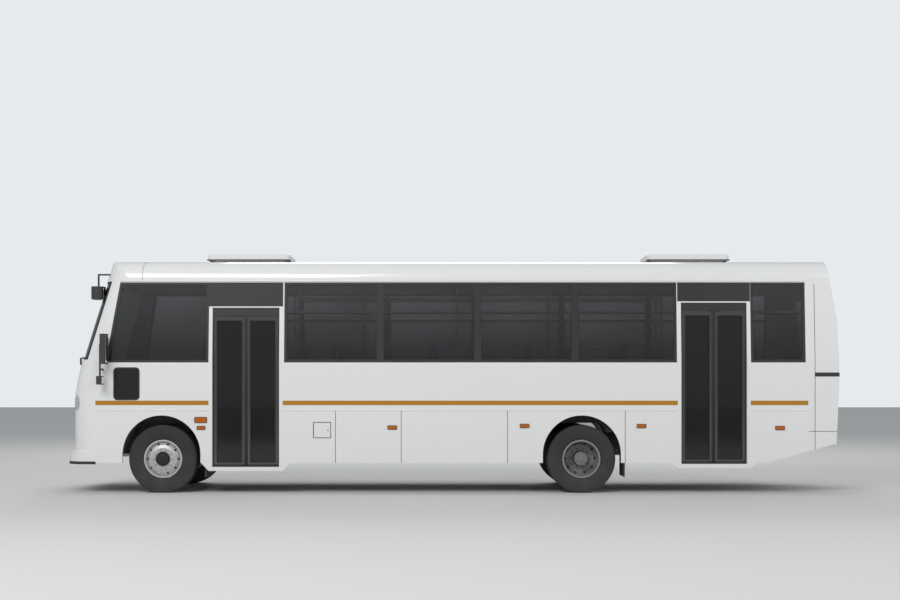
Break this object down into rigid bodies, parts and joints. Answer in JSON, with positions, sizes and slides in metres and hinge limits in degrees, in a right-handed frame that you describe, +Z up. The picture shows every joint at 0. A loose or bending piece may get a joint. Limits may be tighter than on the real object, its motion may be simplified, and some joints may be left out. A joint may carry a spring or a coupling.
{
  "type": "airport passenger bus",
  "caption": "Single-deck airport passenger bus with folding side doors, banded tinted windows, steps, seats, steered front wheels and twin rear wheels.",
  "frame": {"origin": "On the road under the middle of the bus, at the bottom centre of its bounding box.", "axes": "+X runs from the front bumper to the rear panel, so the nose points to -X. +Y is the driver's side and the doors are on -Y. +Z is up."},
  "size_m": [12.0998, 3.09, 3.79],
  "materials": {
    "axle": "painted forged steel",
    "body_white": "white gloss paint",
    "chassis": "black chassis paint",
    "dash_grey": "grained grey moulding",
    "door_frame": "dark grey satin paint",
    "engine": "grey engine paint",
    "exhaust_steel": "heat-dulled steel",
    "floor_grey": "anti-slip floor covering on ply",
    "frame_black": "satin black rubber and plastic",
    "glass": "dark tinted safety glass",
    "lamp_amber": "amber lamp lens",
    "lamp_clear": "clear lamp lens",
    "lamp_red": "red lamp lens",
    "mirror_black": "black moulded housing",
    "pole_steel": "brushed stainless tube",
    "rubber": "black sheet rubber",
    "screen_glass": "lightly tinted laminated glass",
    "seat_cloth": "woven seat cloth",
    "tank_steel": "dark painted sheet steel",
    "tyre": "black road rubber",
    "wheel_dark": "silver wheel paint dulled by dust",
    "wheel_silver": "silver wheel paint"
  },
  "bodies": {
    "root": {"chassis_frame": "chassis", "cross_members": "chassis", "dashboard": "dash_grey", "door_headers": "door_frame", "door_sills": "body_white", "door_surrounds": "body_white", "driver_seat": "seat_cloth", "engine_cover": "dash_grey", "engine_gearbox": "engine", "exhaust": "exhaust_steel", "floor": "floor_grey", "front_axle": "axle", "front_bumper": "body_white", "front_mask": "body_white", "grab_rails": "pole_steel", "grille": "frame_black", "headlamps": "lamp_clear", "mirrors": "mirror_black", "mud_flaps": "rubber", "passenger_seats": "seat_cloth", "propeller_shaft": "chassis", "rear_axle": "axle", "rear_panel": "body_white", "rear_window": "glass", "roof": "body_white", "side_glass_left": "glass", "side_glass_right": "glass", "side_lamps": "lamp_amber", "side_wall_left": "body_white", "side_wall_right": "body_white", "steering_wheel": "dash_grey", "step_wells": "floor_grey", "tail_lamps": "lamp_red", "tanks": "tank_steel", "wheel_houses": "floor_grey", "window_frames_left": "frame_black", "window_frames_right": "frame_black", "windscreen": "screen_glass", "wipers": "frame_black"},
    "knuckle_left_body": {"knuckle_left": "axle"},
    "knuckle_right_body": {"knuckle_right": "axle"},
    "front_left_wheel": {"front_tyre_left": "tyre", "front_wheel_left": "wheel_silver"},
    "front_right_wheel": {"front_tyre_right": "tyre", "front_wheel_right": "wheel_silver"},
    "rear_left_wheels": {"rear_tyres_left": "tyre", "rear_wheels_left": "wheel_dark"},
    "rear_right_wheels": {"rear_tyres_right": "tyre", "rear_wheels_right": "wheel_dark"},
    "front_door_a": {"front_door_leaf_a": "door_frame", "front_door_leaf_a_glass": "glass"},
    "front_door_b": {"front_door_leaf_b": "door_frame", "front_door_leaf_b_glass": "glass"},
    "rear_door_a": {"rear_door_leaf_a": "door_frame", "rear_door_leaf_a_glass": "glass"},
    "rear_door_b": {"rear_door_leaf_b": "door_frame", "rear_door_leaf_b_glass": "glass"},
    "front_hatch": {"roof_hatch_front": "body_white"},
    "rear_hatch": {"roof_hatch_rear": "body_white"},
    "filler_lid": {"filler_flap": "body_white"}
  },
  "joints": [
    {"name": "steer_left", "type": "hinge", "parent": "root", "child": "knuckle_left_body", "pos_m": [-4.459, -0.88, 0.527], "axis": [0, 0, 1], "range_deg": [-35, 35]},
    {"name": "steer_right", "type": "hinge", "parent": "root", "child": "knuckle_right_body", "pos_m": [-4.459, 0.88, 0.527], "axis": [0, 0, 1], "range_deg": [-35, 35]},
    {"name": "front_left_roll", "type": "hinge", "parent": "knuckle_left_body", "child": "front_left_wheel", "pos_m": [-4.459, -1.045, 0.527], "axis": [0, 1, 0], "continuous": true},
    {"name": "front_right_roll", "type": "hinge", "parent": "knuckle_right_body", "child": "front_right_wheel", "pos_m": [-4.459, 1.045, 0.527], "axis": [0, 1, 0], "continuous": true},
    {"name": "rear_left_roll", "type": "hinge", "parent": "root", "child": "rear_left_wheels", "pos_m": [2.041, -0.916, 0.527], "axis": [0, 1, 0], "continuous": true},
    {"name": "rear_right_roll", "type": "hinge", "parent": "root", "child": "rear_right_wheels", "pos_m": [2.041, 0.916, 0.527], "axis": [0, 1, 0], "continuous": true},
    {"name": "front_door_swing", "type": "hinge", "parent": "root", "child": "front_door_a", "pos_m": [-3.652, -1.205, 1.578], "axis": [0, 0, -1], "range_deg": [0, 80]},
    {"name": "front_door_fold", "type": "hinge", "parent": "front_door_a", "child": "front_door_b", "pos_m": [-3.1575, -1.178, 1.578], "axis": [0, 0, -1], "range_deg": [-160, 0]},
    {"name": "rear_door_swing", "type": "hinge", "parent": "root", "child": "rear_door_a", "pos_m": [3.602, -1.205, 1.64], "axis": [0, 0, -1], "range_deg": [0, 80]},
    {"name": "rear_door_fold", "type": "hinge", "parent": "rear_door_a", "child": "rear_door_b", "pos_m": [4.087, -1.178, 1.64], "axis": [0, 0, -1], "range_deg": [-160, 0]},
    {"name": "front_hatch_lift", "type": "hinge", "parent": "root", "child": "front_hatch", "pos_m": [-2.569, 0, 3.7], "axis": [0, 1, 0], "range_deg": [0, 55]},
    {"name": "rear_hatch_lift", "type": "hinge", "parent": "root", "child": "rear_hatch", "pos_m": [3.164, 0, 3.7], "axis": [0, -1, 0], "range_deg": [0, 55]},
    {"name": "filler_flap_swing", "type": "hinge", "parent": "root", "child": "filler_lid", "pos_m": [-2.093, -1.27, 0.9775], "axis": [0, 0, -1], "range_deg": [0, 90]}
  ],
  "couplings": [
    {"joint": "steer_right", "follows": "steer_left", "ratio": 1},
    {"joint": "front_door_fold", "follows": "front_door_swing", "ratio": -2},
    {"joint": "rear_door_fold", "follows": "rear_door_swing", "ratio": -2}
  ]
}
